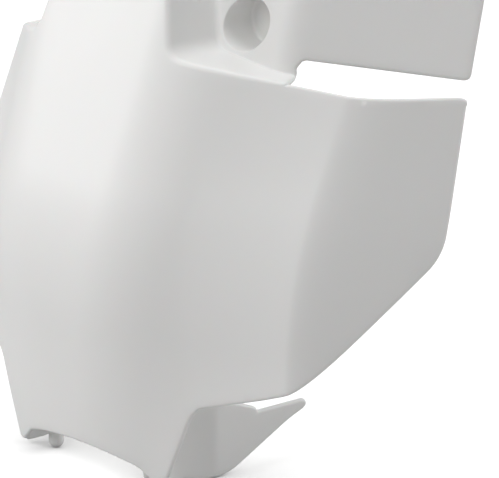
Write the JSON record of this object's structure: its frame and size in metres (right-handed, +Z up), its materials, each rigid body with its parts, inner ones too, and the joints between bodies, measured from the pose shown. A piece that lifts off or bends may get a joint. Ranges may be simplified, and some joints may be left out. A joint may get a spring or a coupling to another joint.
{
  "type": "racing number board",
  "caption": "White moulded front number board with a raised centre, side pockets with round cups, slotted wings and lower brackets.",
  "frame": {"origin": "bottom centre of the bounding box, on the ground under the pegs and brackets", "axes": "+Z up, the board's face looks along -Y, +X to the side; the board is symmetric about X = 0"},
  "size_m": [0.2496, 0.1264, 0.246],
  "materials": {
    "polypropylene": "satin moulded polypropylene, white"
  },
  "bodies": {
    "root": {"number_board": "polypropylene"}
  },
  "joints": []
}
